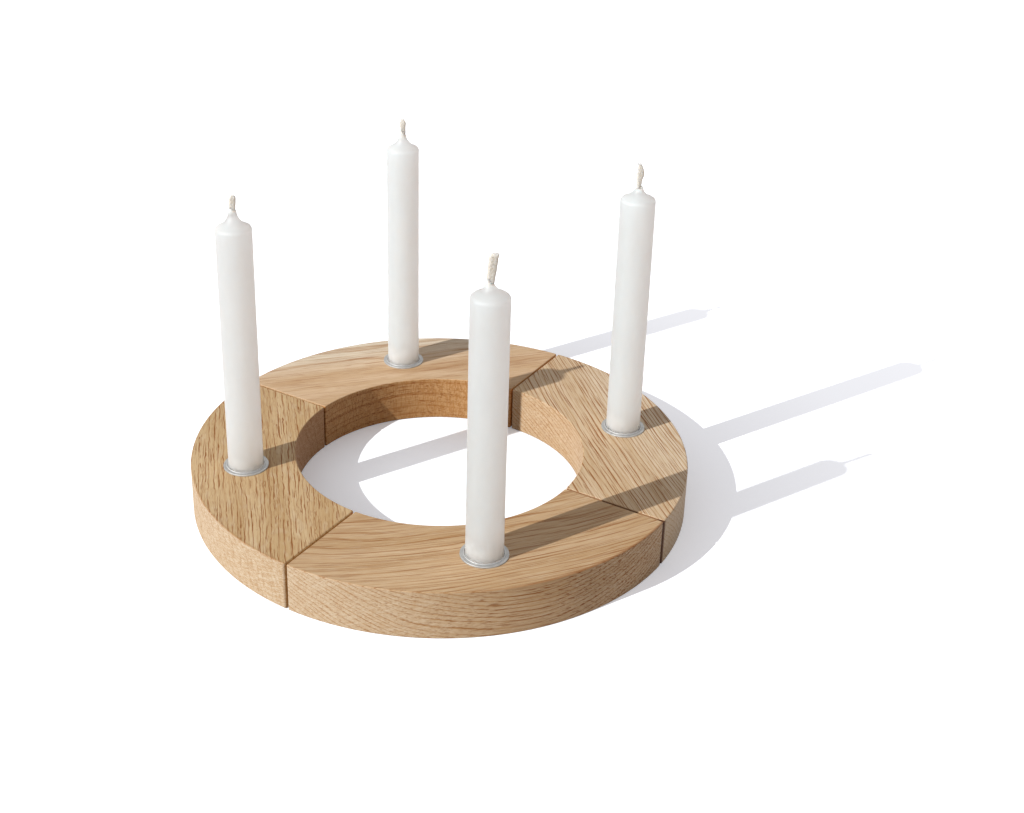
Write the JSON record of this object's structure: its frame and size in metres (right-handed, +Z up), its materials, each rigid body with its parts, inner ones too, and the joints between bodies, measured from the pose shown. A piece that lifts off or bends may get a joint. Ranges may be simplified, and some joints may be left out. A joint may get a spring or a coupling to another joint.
{
  "type": "advent candle holder",
  "caption": "Low oak ring of quarter segments that stand end to end, each with a metal cup holding a slim white candle.",
  "frame": {"origin": "centre of the ring, on the surface that it stands on", "axes": "+Z up along the candles, +X through the right candle, -Y through the front candle"},
  "size_m": [0.18, 0.18, 0.1227],
  "materials": {
    "oak": "sanded and oiled",
    "cup_metal": "satin",
    "wax": "smooth, slightly waxy",
    "cotton": "plaited cotton",
    "magnet_nickel": "nickel plated"
  },
  "bodies": {
    "front_segment": {"oak_segment_front": "oak", "candle_cup_front": "cup_metal", "magnet_front_near_outer": "magnet_nickel", "magnet_front_near_inner": "magnet_nickel", "magnet_front_far_outer": "magnet_nickel", "magnet_front_far_inner": "magnet_nickel"},
    "front_candle": {"candle_front": "wax", "wick_front": "cotton"},
    "right_segment": {"oak_segment_right": "oak", "candle_cup_right": "cup_metal", "magnet_right_near_outer": "magnet_nickel", "magnet_right_near_inner": "magnet_nickel", "magnet_right_far_outer": "magnet_nickel", "magnet_right_far_inner": "magnet_nickel"},
    "right_candle": {"candle_right": "wax", "wick_right": "cotton"},
    "back_segment": {"oak_segment_back": "oak", "candle_cup_back": "cup_metal", "magnet_back_near_outer": "magnet_nickel", "magnet_back_near_inner": "magnet_nickel", "magnet_back_far_outer": "magnet_nickel", "magnet_back_far_inner": "magnet_nickel"},
    "back_candle": {"candle_back": "wax", "wick_back": "cotton"},
    "left_segment": {"oak_segment_left": "oak", "candle_cup_left": "cup_metal", "magnet_left_near_outer": "magnet_nickel", "magnet_left_near_inner": "magnet_nickel", "magnet_left_far_outer": "magnet_nickel", "magnet_left_far_inner": "magnet_nickel"},
    "left_candle": {"candle_left": "wax", "wick_left": "cotton"}
  },
  "joints": [
    {"name": "right_segment_pull", "type": "slide", "parent": "front_segment", "child": "right_segment", "axis": [1, 0, 0], "range_m": [0, 0.04]},
    {"name": "back_segment_pull", "type": "slide", "parent": "front_segment", "child": "back_segment", "axis": [0, 1, 0], "range_m": [0, 0.04]},
    {"name": "left_segment_pull", "type": "slide", "parent": "front_segment", "child": "left_segment", "axis": [-1, 0, 0], "range_m": [0, 0.04]},
    {"name": "front_candle_lift", "type": "slide", "parent": "front_segment", "child": "front_candle", "axis": [0, 0, 1], "range_m": [0, 0.03]},
    {"name": "right_candle_lift", "type": "slide", "parent": "right_segment", "child": "right_candle", "axis": [0, 0, 1], "range_m": [0, 0.03]},
    {"name": "back_candle_lift", "type": "slide", "parent": "back_segment", "child": "back_candle", "axis": [0, 0, 1], "range_m": [0, 0.03]},
    {"name": "left_candle_lift", "type": "slide", "parent": "left_segment", "child": "left_candle", "axis": [0, 0, 1], "range_m": [0, 0.03]}
  ]
}
